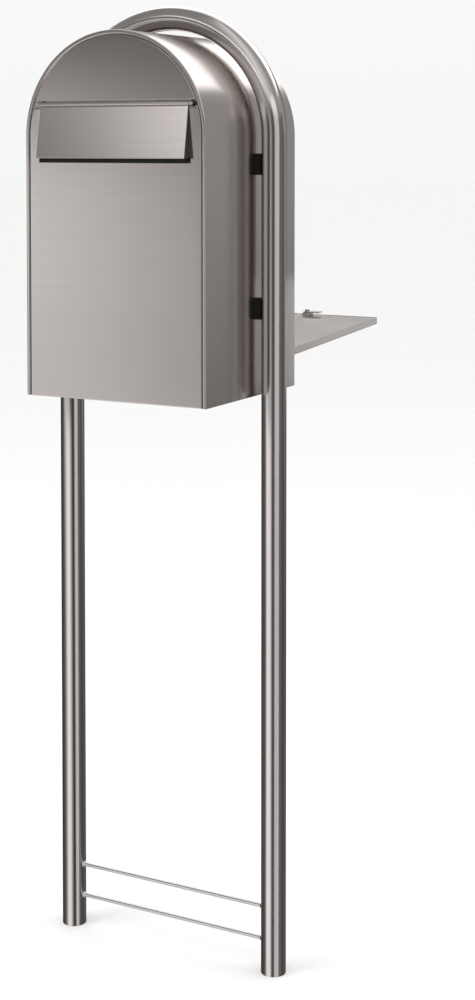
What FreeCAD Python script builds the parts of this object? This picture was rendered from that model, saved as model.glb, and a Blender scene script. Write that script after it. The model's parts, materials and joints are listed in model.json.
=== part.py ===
"""A round-topped steel mailbox carried between the legs of an inverted-U tube stand.

Millimetres. The origin is at ground level, midway between the legs, in the plane of the stand.
X runs across the front, Y from the letter slot (front, -Y) to the door (rear, +Y), Z is up.
The door is drawn closed and then swung open about its pins, because open is its rest position.
"""
import FreeCAD, Part
import os
import re
from FreeCAD import Placement, Rotation, Vector

SIZES = {
    # box
    "box_width": 310.0,
    "box_tall": 545.0,
    "box_depth": 284.0,
    "box_base": 880.0,
    "front_reach": 161.5,        # stand plane to the front face
    "shell_sheet": 1.5,
    "rim_width": 6.5,
    "rim_return": 12.0,
    "panel_sheet": 1.2,
    "panel_gap": 1.0,
    "panel_inset": 0.5,
    "panel_return": 11.0,
    "weld_gap": 0.1,             # room left between spot-welded sheets
    "floor_sheet": 1.5,
    "floor_flange": 10.0,
    # stand
    "tube_size": 38.0,
    "tube_wall": 2.0,
    "leg_spacing": 362.0,
    "stand_tall": 1470.0,
    "anchor_rod_size": 6.0,
    "anchor_low": 48.0,
    "anchor_high": 98.0,
    "spacer_tall": 32.0,
    "spacer_wide": 24.0,
    "spacer_deep": 9.5,
    "spacer_round": 5.0,
    "spacer_up": 1228.0,
    "spacer_down": 1011.0,
    "saddle_gap": 0.15,
    "bolt_size": 6.0,
    "bolt_hole": 6.4,
    "bolt_reach": 176.0,
    "bolt_head": 4.0,
    "bolt_head_size": 11.5,
    "washer_size": 18.0,
    "washer_thick": 1.5,
    "insert_size": 9.0,
    "insert_length": 12.0,
    "insert_flange": 13.0,
    "insert_flange_thick": 1.0,
    # letter slot; heights are above the bottom of the box
    "dome_low": 441.5,
    "dome_return": 7.0,
    "panel_top": 432.0,
    "slot_half": 121.0,
    "slot_low": 360.0,
    "slot_high": 428.0,
    "channel_half": 137.5,
    "channel_back": 8.0,
    "channel_low": 429.5,
    "frame_half": 125.0,
    "frame_low": 350.5,
    "frame_step": 356.0,
    "frame_top": 429.0,
    "frame_stand": 9.0,
    "frame_top_stand": 0.2,
    "frame_wall": 4.0,
    "frame_fit": 0.5,
    "sleeve_depth": 15.0,
    "frame_screw_height": 353.2,
    "frame_screw_size": 3.0,
    "frame_screw_long": 8.0,
    "frame_screw_head": 6.0,
    "frame_screw_head_thick": 2.2,
    "bumper_size": 6.0,
    "bumper_height": 363.0,
    "bumper_out": 120.0,
    "bumper_gap": 0.8,
    # letter flap
    "flap_half": 127.0,
    "flap_low": 357.0,
    "flap_sheet": 1.2,
    "flap_axis_height": 436.5,
    "flap_axis_in": 3.0,         # behind the front face
    "flap_top_stand": 1.1,
    "flap_low_stand": 13.8,
    "flap_back_gap": 0.3,
    "flap_lip": 4.5,
    "flap_rod_size": 6.0,
    "flap_rod_half": 133.0,
    "hinge_play": 0.05,
    "roll_wall": 1.25,
    "roll_half": 126.5,
    "bracket_in": 127.8,
    "bracket_sheet": 1.5,
    "clip_size": 8.4,
    "clip_thick": 1.0,
    # rear door, drawn closed; heights are above the bottom of the box
    "door_half": 127.5,
    "door_low": 3.0,
    "door_top": 430.0,
    "door_thick": 12.0,
    "door_sheet": 1.5,
    "liner_sheet": 1.2,
    "liner_fit": 0.15,
    "liner_drop": 0.5,
    "door_gap": 1.2,
    "pivot_height": 43.0,
    "door_tilt": 3.5,            # degrees above level when open
    "pin_size": 6.0,
    "pin_in": 112.0,
    "pin_out": 136.0,
    "bush_size": 7.4,
    "bush_flange": 8.4,
    "bush_flange_thick": 1.0,
    "jamb_depth": 17.0,
    "keeper_half": 70.0,
    "keeper_tall": 10.0,
    "stop_in": 112.0,
    "stop_low": 50.6,
    "stop_deep": 24.0,
    "stop_from_pivot": 14.0,
    "stop_flange": 15.0,
    "stop_pad_size": 12.0,
    "stop_pad_low": 48.0,
    # cam lock
    "lock_drop": 18.7,           # lock axis below the top of the door
    "lock_head": 18.5,
    "lock_head_thick": 2.2,
    "lock_barrel": 16.0,
    "lock_end": 17.9,            # barrel end, in front of the rear face
    "lock_nut_size": 23.0,
    "lock_nut_thick": 3.6,
    "plug_size": 11.0,
    "plug_square": 6.0,
    "key_wide": 1.4,
    "key_tall": 7.0,
    "key_deep": 9.0,
    "cam_sheet": 2.0,
    "cam_wide": 14.0,
    "cam_reach": 26.0,
    "cam_gap": 0.1,
    "cam_screw_size": 4.0,
    "cam_screw_long": 8.0,
    "cam_screw_head": 8.0,
    "cam_screw_head_thick": 3.0,
    # cutting allowance: how far a cutting solid runs past what it cuts
    "past": 10.0,
}

FRONT = "-front_reach"
REAR = "(box_depth - front_reach)"
ARCH_CENTRE = "(box_base + box_tall - box_width / 2)"
PANEL_HALF = "(box_width / 2 - rim_width - panel_gap)"
FRONT_FACE = "(panel_inset - front_reach)"
REAR_FACE = f"({REAR} - panel_inset)"
FLAP_AXIS = ("flap_axis_in - front_reach", "box_base + flap_axis_height")
PIVOT = (f"{REAR} - door_thick / 2", "box_base + pivot_height")
LOCK_HEIGHT = "(box_base + door_top - lock_drop)"
SIDES = {"left": -1, "right": 1}
SPACER_HEIGHTS = {"upper": "spacer_up", "lower": "spacer_down"}
ALONG = {
    "x": Rotation(Vector(0, 1, 0), 90),
    "y": Rotation(Vector(1, 0, 0), -90),
    "z": Rotation(),
}

doc = FreeCAD.newDocument("Mailbox")
parts = []


def make_sheet():
    """The spreadsheet of driving dimensions."""
    table = doc.addObject("Spreadsheet::Sheet", "Sizes")
    for row, (alias, value) in enumerate(SIZES.items(), start=1):
        table.set(f"A{row}", alias)
        table.set(f"B{row}", str(value))
        table.setAlias(f"B{row}", alias)
    doc.recompute()
    return table


def bind(thing, **expressions):
    """Bind properties to expressions in which every word is a name from the sheet."""
    for name, text in expressions.items():
        thing.setExpression(name.replace("_", "."), re.sub(r"([a-z]\w*)", r"Sizes.\1", text))


def place(thing, corner, turn=Rotation()):
    """Turn a primitive and put its own origin at a corner given by three expressions."""
    thing.Placement = Placement(Vector(), turn)
    bind(thing, Placement_Base_x=corner[0], Placement_Base_y=corner[1], Placement_Base_z=corner[2])
    return thing


def block(name, x, y, z):
    """A block given by its low and high value along each axis."""
    solid = doc.addObject("Part::Box", name)
    bind(solid, Length=f"({x[1]}) - ({x[0]})", Width=f"({y[1]}) - ({y[0]})",
         Height=f"({z[1]}) - ({z[0]})")
    return place(solid, (x[0], y[0], z[0]))


def axis_corner(axis, low, centre):
    """The start point of a round piece: low along its axis, centre across it in axis order."""
    corner = list(centre)
    corner.insert("xyz".index(axis), low)
    return corner


def rod(name, axis, size, span, centre):
    """A cylinder of diameter size along an axis from span[0] to span[1]."""
    solid = doc.addObject("Part::Cylinder", name)
    bind(solid, Radius=f"({size}) / 2", Height=f"({span[1]}) - ({span[0]})")
    return place(solid, axis_corner(axis, span[0], centre), ALONG[axis])


def hexagon(name, axis, across, span, centre):
    """A hexagonal prism, across its corners, along an axis."""
    solid = doc.addObject("Part::Prism", name)
    solid.Polygon = 6
    bind(solid, Circumradius=f"({across}) / 2", Height=f"({span[1]}) - ({span[0]})")
    return place(solid, axis_corner(axis, span[0], centre), ALONG[axis])


def join(name, *solids):
    """The solids fused into one."""
    result = doc.addObject("Part::MultiFuse", name)
    result.Shapes = list(solids)
    result.Refine = True
    return result


def cut(name, base, *tools):
    """The base less the tools."""
    result = doc.addObject("Part::Cut", name)
    result.Base = base
    result.Tool = tools[0] if len(tools) == 1 else join(f"{name}_tools", *tools)
    return result


def overlap(name, first, second):
    """What two solids share."""
    result = doc.addObject("Part::Common", name)
    result.Base = first
    result.Tool = second
    return result


def group(name, *solids):
    """Separate solids kept together as one sub-part."""
    result = doc.addObject("Part::Compound", name)
    result.Links = list(solids)
    return result


def keep(node, thing):
    """Make a finished object a sub-part, named for its file."""
    thing.Label = node
    parts.append(thing)
    return thing


def mirrored(side, low, high):
    """A span out from the middle, on the left (-1) or right (1)."""
    return (low, high) if side > 0 else (f"-({high})", f"-({low})")


def arch(name, half, y, base):
    """A round-topped block, as wide as the box less what half leaves, down to base."""
    straight = block(f"{name}_straight", (f"-({half})", half), y, (base, ARCH_CENTRE))
    round_top = rod(f"{name}_round", "y", f"2 * ({half})", y, ("0", ARCH_CENTRE))
    return join(name, straight, round_top)


def spread(name, across, make):
    """One solid per position, made by make(name, position)."""
    return [make(f"{name}_{index}", position) for index, position in enumerate(across)]


# ------------------------------------------------------------------ stand

def stand_fixings():
    """Name, side and height of each of the four fixing points."""
    return [(f"{side}_{level}", SIDES[side], height)
            for side in SIDES for level, height in SPACER_HEIGHTS.items()]


def bent_tube(name, size):
    """The path of the stand filled to a round section: two legs and half a ring."""
    legs = [rod(f"{name}_{side}_leg", "z", size, ("0", "stand_tall - tube_size / 2 - leg_spacing / 2"),
                (f"{sign} * leg_spacing / 2", "0")) for side, sign in SIDES.items()]
    ring = doc.addObject("Part::Torus", f"{name}_bend")
    bind(ring, Radius1="leg_spacing / 2", Radius2=f"({size}) / 2")
    ring.Angle3 = 180
    place(ring, ("0", "0", "stand_tall - tube_size / 2 - leg_spacing / 2"), Rotation(Vector(1, 0, 0), 90))
    return join(name, *legs, ring)


def make_stand():
    """The bent tube, the anchor rods that cross it and the threaded inserts in its sides."""
    holes = [rod(f"insert_hole_{name}", "x", "insert_size", mirrored(side, "150", "leg_spacing / 2"),
                 ("0", height)) for name, side, height in stand_fixings()]
    for level in ("low", "high"):
        holes.append(rod(f"anchor_hole_{level}", "x", "anchor_rod_size",
                         ("-leg_spacing / 2", "leg_spacing / 2"), ("0", f"anchor_{level}")))
    keep("stand_tube", cut("StandTube", bent_tube("TubeOutside", "tube_size"),
                           bent_tube("TubeInside", "tube_size - 2 * tube_wall"), *holes))
    for level, node in (("low", "anchor_rod_lower"), ("high", "anchor_rod_upper")):
        end = "leg_spacing / 2 - tube_size / 2 + tube_wall"
        keep(node, group(f"AnchorRod_{level}", rod(f"anchor_{level}_rod", "x", "anchor_rod_size",
                                                   (f"-({end})", end), ("0", f"anchor_{level}"))))


def make_insert(name, side, height):
    """A threaded insert set in the inner side of a leg."""
    face = "leg_spacing / 2 - tube_size / 2"
    flange = rod(f"{name}_flange", "x", "insert_flange",
                 mirrored(side, f"{face} - insert_flange_thick", face), ("0", height))
    shank = rod(f"{name}_shank", "x", "insert_size",
                mirrored(side, f"{face} - insert_flange_thick", f"{face} + insert_length"), ("0", height))
    thread = rod(f"{name}_thread", "x", "bolt_size + 2 * hinge_play",
                 mirrored(side, "150", "leg_spacing / 2"), ("0", height))
    return cut(name, join(f"{name}_body", flange, shank), thread)


def make_bolt(name, side, height):
    """A hexagon bolt from inside the box into an insert."""
    head_face = "box_width / 2 - shell_sheet - washer_thick"
    head = hexagon(f"{name}_head", "x", "bolt_head_size",
                   mirrored(side, f"{head_face} - bolt_head", head_face), ("0", height))
    shank = rod(f"{name}_shank", "x", "bolt_size",
                mirrored(side, f"{head_face} - bolt_head / 2", "bolt_reach"), ("0", height))
    return join(name, head, shank)


def make_washer(name, side, height):
    """A plain washer between a bolt head and the side of the box."""
    inner = "box_width / 2 - shell_sheet"
    disc = rod(f"{name}_disc", "x", "washer_size",
               mirrored(side, f"{inner} - washer_thick", inner), ("0", height))
    return cut(name, disc, bolt_hole(f"{name}_hole", side, height))


def bolt_hole(name, side, height):
    """The clearance hole of one stand bolt, through the box side and the spacer."""
    return rod(name, "x", "bolt_hole", mirrored(side, "box_width / 2 - past", "leg_spacing / 2"),
               ("0", height))


def make_spacer(name, side, height):
    """A rubber pad between the box and a leg: round-cornered, with a saddle for the tube."""
    x = mirrored(side, "box_width / 2", "box_width / 2 + spacer_deep")
    wide = "spacer_wide / 2"
    tall = "spacer_tall / 2"
    bars = [block(f"{name}_wide", x, (f"-{wide}", wide),
                  (f"{height} - {tall} + spacer_round", f"{height} + {tall} - spacer_round")),
            block(f"{name}_tall", x, (f"spacer_round - {wide}", f"{wide} - spacer_round"),
                  (f"{height} - {tall}", f"{height} + {tall}"))]
    for y_sign in (-1, 1):
        for z_sign in (-1, 1):
            centre = (f"{y_sign} * ({wide} - spacer_round)", f"{height} + {z_sign} * ({tall} - spacer_round)")
            bars.append(rod(f"{name}_corner{len(bars)}", "x", "2 * spacer_round", x, centre))
    saddle = rod(f"{name}_saddle", "z", "tube_size + 2 * saddle_gap",
                 (f"{height} - past - {tall}", f"{height} + past + {tall}"),
                 (f"{side} * leg_spacing / 2", "0"))
    recess = rod(f"{name}_recess", "x", "insert_flange + 2 * saddle_gap",
                 mirrored(side, "leg_spacing / 2 - tube_size / 2 - insert_flange_thick - saddle_gap",
                          "leg_spacing / 2"), ("0", height))
    return cut(name, join(f"{name}_body", *bars), saddle, recess, bolt_hole(f"{name}_bore", side, height))


def make_stand_fixings():
    """Spacers, inserts, bolts and washers at the four fixing points."""
    points = stand_fixings()
    keep("rivet_nuts", group("RivetNuts", *[make_insert(f"insert_{n}", s, h) for n, s, h in points]))
    keep("stand_bolts", group("StandBolts", *[make_bolt(f"bolt_{n}", s, h) for n, s, h in points]))
    keep("stand_washers", group("StandWashers", *[make_washer(f"washer_{n}", s, h) for n, s, h in points]))
    for name, side, height in points:
        keep(f"spacer_{name}", make_spacer(f"spacer_{name}", side, height))


# ------------------------------------------------------------------ box

def make_shell():
    """The wrap: sides and round top in one sheet, with a rim folded in at the front and rear."""
    below = "box_base - past"
    inner = "box_width / 2 - shell_sheet"
    rim = "box_width / 2 - rim_width"
    outside = arch("ShellOutside", "box_width / 2", (FRONT, REAR), "box_base")
    inside = arch("ShellInside", inner,
                  (f"{FRONT} + shell_sheet", f"{REAR} - shell_sheet"), below)
    mouth = arch("ShellMouth", rim, (f"{FRONT} - past", f"{REAR} + past"), below)
    holes = [bolt_hole(f"shell_hole_{n}", s, h) for n, s, h in stand_fixings()]
    body = cut("ShellBody", outside, inside, mouth, *holes)
    returns = []
    for end, y in (("front", (FRONT, f"{FRONT} + rim_return")), ("rear", (f"{REAR} - rim_return", REAR))):
        outer = arch(f"Return_{end}_outer", f"{rim} + shell_sheet", y, "box_base + floor_sheet + weld_gap")
        bore = arch(f"Return_{end}_bore", rim, (f"{y[0]} - past", f"{y[1]} + past"), below)
        returns.append(cut(f"Return_{end}", outer, bore))
    keep("shell_wrap", join("ShellWrap", body, *returns))


def make_floor():
    """The floor of the box, with a flange turned up along each side."""
    half = "box_width / 2 - shell_sheet - weld_gap"
    y = (f"{FRONT_FACE} + panel_sheet + weld_gap", f"{REAR_FACE} - panel_sheet - weld_gap")
    bar = block("floor_plate", (f"-({half})", half), y, ("box_base", "box_base + floor_sheet"))
    flanges = [block(f"floor_flange_{side}", mirrored(sign, f"{half} - floor_sheet", half), y,
                     ("box_base", "box_base + floor_flange")) for side, sign in SIDES.items()]
    keep("bottom_plate", join("BottomPlate", bar, *flanges))


def panel_plate(name, face, inward, low, high):
    """A flat round-topped sheet with its outer face at face, between two heights."""
    back = f"{face} + panel_sheet" if inward > 0 else f"{face} - panel_sheet"
    y = (face, back) if inward > 0 else (back, face)
    full = arch(f"{name}_full", PANEL_HALF, y, "box_base")
    band = block(f"{name}_band", ("-box_width / 2", "box_width / 2"),
                 (f"{y[0]} - past", f"{y[1]} + past"), (low, high))
    return overlap(f"{name}_plate", full, band)


def side_returns(name, y, high):
    """The edges of a panel folded in along its straight sides."""
    low = "box_base + floor_sheet + weld_gap"
    return [block(f"{name}_{side}_return", mirrored(sign, f"{PANEL_HALF} - panel_sheet", PANEL_HALF),
                  y, (low, high)) for side, sign in SIDES.items()]


def frame_screw_points():
    """Places along the lower rail of the slot frame."""
    return ["-0.8 * frame_half", "-0.27 * frame_half", "0.27 * frame_half", "0.8 * frame_half"]


def screw_hole(name, x):
    """The hole of one slot frame screw."""
    return rod(name, "y", "frame_screw_size",
               (f"{FRONT_FACE} - frame_screw_long + panel_sheet", f"{FRONT_FACE} + past"),
               (x, "box_base + frame_screw_height"))


def make_front():
    """The lower front panel with the letter slot, and the dome panel above it."""
    plate = panel_plate("Front", FRONT_FACE, 1, "box_base", "box_base + panel_top")
    y = (FRONT_FACE, f"{FRONT_FACE} + panel_return")
    slot = block("front_slot", ("-slot_half", "slot_half"),
                 (f"{FRONT_FACE} - past", f"{FRONT_FACE} + past"),
                 ("box_base + slot_low", "box_base + slot_high"))
    holes = spread("front_screw_hole", frame_screw_points(), screw_hole)
    keep("front_panel", cut("FrontPanel", join("FrontFolded", plate, *side_returns("front", y, ARCH_CENTRE)),
                            slot, *holes))
    dome = panel_plate("Dome", FRONT_FACE, 1, "box_base + dome_low", "box_base + box_tall")
    fold = block("dome_fold", ("-channel_half", "channel_half"),
                 (FRONT_FACE, f"{FRONT_FACE} + dome_return"),
                 ("box_base + dome_low", "box_base + dome_low + panel_sheet"))
    keep("front_dome_panel", join("FrontDomePanel", dome, fold))


def make_hinge_channel():
    """The folded strip behind the gap over the flap, which joins the two front panels."""
    across = ("-channel_half", "channel_half")
    front = f"{FRONT} + channel_back"
    back = block("channel_back_plate", across, (front, f"{front} + panel_sheet"),
                 ("box_base + channel_low", "box_base + dome_low + panel_sheet"))
    leg = block("channel_leg", across, (f"{FRONT_FACE} + panel_sheet + weld_gap", front),
                ("box_base + channel_low", "box_base + channel_low + panel_sheet"))
    keep("hinge_channel", join("HingeChannel", back, leg))


def wedge(name, half, low, high, back, low_front, high_front):
    """A block across the front whose front face leans out: back and fronts are distances ahead."""
    solid = doc.addObject("Part::Wedge", name)
    bind(solid, Xmin=f"-({half})", Xmax=half, X2min=f"-({half})", X2max=half,
         Ymin=low, Ymax=high, Zmin=back, Z2min=back, Zmax=low_front, Z2max=high_front)
    return place(solid, ("0", FRONT, "box_base"), Rotation(Vector(1, 0, 0), 90))


def make_slot_frame():
    """The plastic surround of the slot: a hood in front of the panel and a sleeve through it."""
    rail = block("frame_rail", ("-frame_half", "frame_half"),
                 (f"{FRONT_FACE} - frame_stand", FRONT_FACE),
                 ("box_base + frame_low", "box_base + frame_step"))
    hood = wedge("frame_hood", "frame_half", "frame_step", "frame_top", "-panel_inset",
                 "frame_stand - panel_inset", "frame_top_stand - panel_inset")
    sleeve = block("frame_sleeve", ("frame_fit - slot_half", "slot_half - frame_fit"),
                   (FRONT_FACE, f"{FRONT_FACE} + sleeve_depth"),
                   ("box_base + slot_low + frame_fit", "box_base + slot_high - frame_fit"))
    clear = block("frame_clear", ("frame_wall - slot_half", "slot_half - frame_wall"),
                  (f"{FRONT_FACE} - 2 * past", f"{FRONT_FACE} + 2 * past"),
                  ("box_base + slot_low + frame_wall", "box_base + slot_high - frame_wall"))
    holes = spread("frame_pilot", frame_screw_points(), screw_hole)
    keep("slot_frame", cut("SlotFrame", join("FrameBody", rail, hood, sleeve), clear, *holes))


def make_frame_screw(name, x):
    """A pan-head screw from inside the box into the lower rail."""
    centre = (x, "box_base + frame_screw_height")
    back = f"{FRONT_FACE} + panel_sheet"
    head = rod(f"{name}_head", "y", "frame_screw_head", (back, f"{back} + frame_screw_head_thick"), centre)
    shank = rod(f"{name}_shank", "y", "frame_screw_size",
                (f"{back} - frame_screw_long", f"{back} + frame_screw_head_thick / 2"), centre)
    return join(name, head, shank)


def flap_front(height):
    """How far the flap's outer face stands ahead of the front face at a height."""
    rise = f"(flap_axis_height - {height}) / (flap_axis_height - flap_low)"
    return f"(flap_top_stand + (flap_low_stand - flap_top_stand) * {rise})"


def make_bumpers():
    """Two rubber studs on the frame, where the closed flap rests."""
    face = f"{FRONT} - {flap_front('bumper_height')} + 1.1 * flap_sheet + bumper_gap"
    studs = [rod(f"bumper_{side}", "y", "bumper_size", (face, f"{FRONT_FACE} - frame_stand * 0.9"),
                 (f"{sign} * bumper_out", "box_base + bumper_height")) for side, sign in SIDES.items()]
    hood = wedge("bumper_seat", "frame_half", "frame_step", "frame_top", "-panel_inset",
                 "frame_stand - panel_inset", "frame_top_stand - panel_inset")
    keep("flap_bumpers", cut("FlapBumpers", group("bumper_studs", *studs), hood))


def make_flap():
    """The flap: a leaning face with cheeks and a bottom lip, rolled round its rod at the top."""
    back = "flap_back_gap - panel_inset"
    outer = wedge("flap_outer", "flap_half", "flap_low", "flap_axis_height", back,
                  "flap_low_stand", "flap_top_stand")
    hollow = wedge("flap_hollow", "flap_half - flap_sheet", "flap_low + flap_sheet",
                   "flap_axis_height - 3 * flap_sheet", "-past",
                   f"{flap_front('(flap_low + flap_sheet)')} - flap_sheet",
                   f"{flap_front('(flap_axis_height - 3 * flap_sheet)')} - flap_sheet")
    heel = block("flap_heel", ("flap_sheet - flap_half", "flap_half - flap_sheet"),
                 (f"{FRONT} - flap_low_stand + flap_lip", "0"),
                 ("box_base + flap_low - past", "box_base + flap_low + 2 * flap_sheet"))
    roll = rod("flap_roll", "x", "flap_rod_size + 2 * hinge_play + 2 * roll_wall",
               ("-roll_half", "roll_half"), FLAP_AXIS)
    bore = rod("flap_bore", "x", "flap_rod_size + 2 * hinge_play",
               ("-flap_half - past", "flap_half + past"), FLAP_AXIS)
    body = join("FlapBody", cut("FlapPan", outer, hollow, heel), roll)
    keep("slot_flap", cut("SlotFlap", body, bore))


def make_flap_hinge():
    """The rod that the flap turns on, its two brackets and the clips that keep it in."""
    keep("flap_rod", group("FlapRod", rod("flap_rod_bar", "x", "flap_rod_size",
                                          ("-flap_rod_half", "flap_rod_half"), FLAP_AXIS)))
    clips = []
    for side, sign in SIDES.items():
        y = (f"{FRONT_FACE} + panel_sheet / 2", f"{FRONT} + channel_back - weld_gap")
        z = ("box_base + panel_top + weld_gap", "box_base + dome_low - weld_gap")
        plate = block(f"bracket_{side}_plate",
                      mirrored(sign, "bracket_in", "bracket_in + bracket_sheet"), y, z)
        hole = rod(f"bracket_{side}_hole", "x", "flap_rod_size",
                   ("-flap_half - past", "flap_half + past"), FLAP_AXIS)
        keep(f"flap_bracket_{side}", cut(f"FlapBracket_{side}", plate, hole))
        outer = "bracket_in + bracket_sheet + hinge_play"
        disc = rod(f"clip_{side}_disc", "x", "clip_size",
                   mirrored(sign, outer, f"{outer} + clip_thick"), FLAP_AXIS)
        bore = rod(f"clip_{side}_bore", "x", "flap_rod_size",
                   ("-flap_half - past", "flap_half + past"), FLAP_AXIS)
        clips.append(cut(f"clip_{side}", disc, bore))
    keep("flap_rod_clips", group("FlapRodClips", *clips))


def make_rear_panel():
    """The rear panel round the door: jambs folded in, and a keeper lip for the lock cam."""
    plate = panel_plate("Rear", REAR_FACE, -1, "box_base", "box_base + box_tall")
    folds = side_returns("rear", (f"{REAR_FACE} - panel_return", REAR_FACE), ARCH_CENTRE)
    opening_half = "(door_half + door_gap)"
    opening_top = "(box_base + door_top + door_gap)"
    opening = block("rear_opening", (f"-{opening_half}", opening_half),
                    (f"{REAR_FACE} - past", f"{REAR_FACE} + past"), ("box_base - past", opening_top))
    deep = (f"{REAR_FACE} - jamb_depth", REAR_FACE)
    jamb_out = f"{opening_half} + panel_sheet"
    jambs = [block(f"jamb_{side}", mirrored(sign, opening_half, jamb_out), deep,
                   ("box_base + floor_sheet + weld_gap", f"{opening_top} + panel_sheet"))
             for side, sign in SIDES.items()]
    head = block("jamb_head", (f"-({jamb_out})", jamb_out), deep,
                 (opening_top, f"{opening_top} + panel_sheet"))
    keeper = block("keeper_lip", ("-keeper_half", "keeper_half"),
                   (deep[0], f"{deep[0]} + panel_sheet"), (opening_top, f"{opening_top} + keeper_tall"))
    bush_hole = rod("bush_holes", "x", "bush_size", ("-box_width / 2", "box_width / 2"), PIVOT)
    framed = join("RearFramed", cut("RearSheet", plate, opening), *folds, *jambs, head, keeper)
    keep("rear_panel", cut("RearPanel", framed, bush_hole))


def make_bush(name, side):
    """A plastic bush in a jamb, which a door pin turns in."""
    inner = "door_half + door_gap"
    outer = f"{inner} + panel_sheet"
    sleeve = rod(f"{name}_sleeve", "x", "bush_size", mirrored(side, inner, f"{outer} + bush_flange_thick"), PIVOT)
    flange = rod(f"{name}_flange", "x", "bush_flange", mirrored(side, outer, f"{outer} + bush_flange_thick"),
                 PIVOT)
    bore = rod(f"{name}_bore", "x", "pin_size + 2 * hinge_play", ("-box_width", "box_width"), PIVOT)
    return cut(name, join(f"{name}_body", sleeve, flange), bore)


def make_stop(name, side):
    """A bracket on the side of the box, over the tail of the open door, and its rubber pad."""
    y = (f"{PIVOT[0]} - stop_from_pivot - stop_deep", f"{PIVOT[0]} - stop_from_pivot")
    wall = "box_width / 2 - shell_sheet"
    tab = block(f"{name}_tab", mirrored(side, "stop_in", wall), y,
                ("box_base + stop_low", "box_base + stop_low + shell_sheet"))
    flange = block(f"{name}_flange", mirrored(side, f"{wall} - shell_sheet", wall), y,
                   ("box_base + stop_low - stop_flange", "box_base + stop_low + stop_flange"))
    pad = rod(f"{name}_pad", "z", "stop_pad_size", ("box_base + stop_pad_low", "box_base + stop_low"),
              (f"{side} * (stop_in + stop_pad_size / 2)",
               f"{PIVOT[0]} - stop_from_pivot - stop_deep / 2"))
    return join(name, tab, flange), pad


def make_door_frame_pieces():
    """What the door turns in and rests against: bushes, stop brackets and their pads."""
    pads = []
    for side, sign in SIDES.items():
        keep(f"hinge_bush_{side}", make_bush(f"Bush_{side}", sign))
        bracket, pad = make_stop(f"Stop_{side}", sign)
        keep(f"door_stop_{side}", bracket)
        pads.append(pad)
    keep("door_stop_pads", group("StopPads", *pads))


# ------------------------------------------------------------------ door and lock, drawn closed

def lock_hole(name, size):
    """A round hole on the lock axis, through the door."""
    return rod(name, "y", size, (f"{REAR} - 4 * past", f"{REAR} + past"), ("0", LOCK_HEIGHT))


def make_door():
    """The door: an outer pan, a flat liner set in it and a pin at each side."""
    y = (f"{REAR} - door_thick", REAR)
    z = ("box_base + door_low", "box_base + door_top")
    outer = block("door_outer", ("-door_half", "door_half"), y, z)
    hollow = block("door_hollow", ("door_sheet - door_half", "door_half - door_sheet"),
                   (f"{y[0]} - past", f"{y[1]} - door_sheet"), (f"{z[0]} + door_sheet", f"{z[1]} - door_sheet"))
    pin_hole = rod("door_pin_hole", "x", "pin_size", ("-box_width", "box_width"), PIVOT)
    skin = cut("DoorSkin", outer, hollow, pin_hole, lock_hole("skin_lock_hole", "lock_barrel"))
    edge = "(door_sheet + liner_fit)"
    sheet = block("liner_plate", (f"{edge} - door_half", f"door_half - {edge}"),
                  (f"{y[0]} + liner_drop", f"{y[0]} + liner_drop + liner_sheet"),
                  (f"{z[0]} + {edge}", f"{z[1]} - {edge}"))
    liner = cut("DoorLiner", sheet, lock_hole("liner_lock_hole", "lock_barrel"))
    pins = {f"door_pin_{side}": group(f"Pin_{side}", rod(f"pin_{side}", "x", "pin_size",
                                                         mirrored(sign, "pin_in", "pin_out"), PIVOT))
            for side, sign in SIDES.items()}
    return {"door_skin": skin, "door_liner": liner, **pins}


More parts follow.
